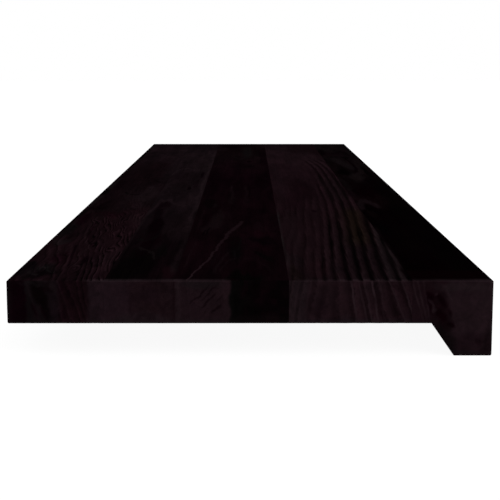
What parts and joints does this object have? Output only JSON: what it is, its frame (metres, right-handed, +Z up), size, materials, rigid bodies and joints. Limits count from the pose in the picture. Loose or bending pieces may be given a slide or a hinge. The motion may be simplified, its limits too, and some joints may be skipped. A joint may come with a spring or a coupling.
{
  "type": "stair tread",
  "caption": "Solid wood stair tread stained near black: a flat board of edge-glued staves with a dropped nosing along the front, slanted on its hidden side.",
  "frame": {"origin": "bottom centre of the bounding box: under the middle of the tread, level with the bottom of the nosing", "axes": "+X runs across the step from the back edge to the nosing, +Y along the step's length, +Z up out of the walking face"},
  "size_m": [0.3, 1.2, 0.0475],
  "materials": {
    "back_stave_timber": "plum-black stain, brushed, matt",
    "back_inner_stave_timber": "plum-black stain, brushed, matt",
    "middle_stave_timber": "deep black stain, brushed, matt",
    "front_inner_stave_timber": "plum-brown stain, brushed, matt",
    "nosing_stave_timber": "deep black stain, brushed, matt"
  },
  "bodies": {
    "root": {"back_stave": "back_stave_timber", "back_inner_stave": "back_inner_stave_timber", "middle_stave": "middle_stave_timber", "front_inner_stave": "front_inner_stave_timber", "nosing_stave": "nosing_stave_timber"}
  },
  "joints": []
}
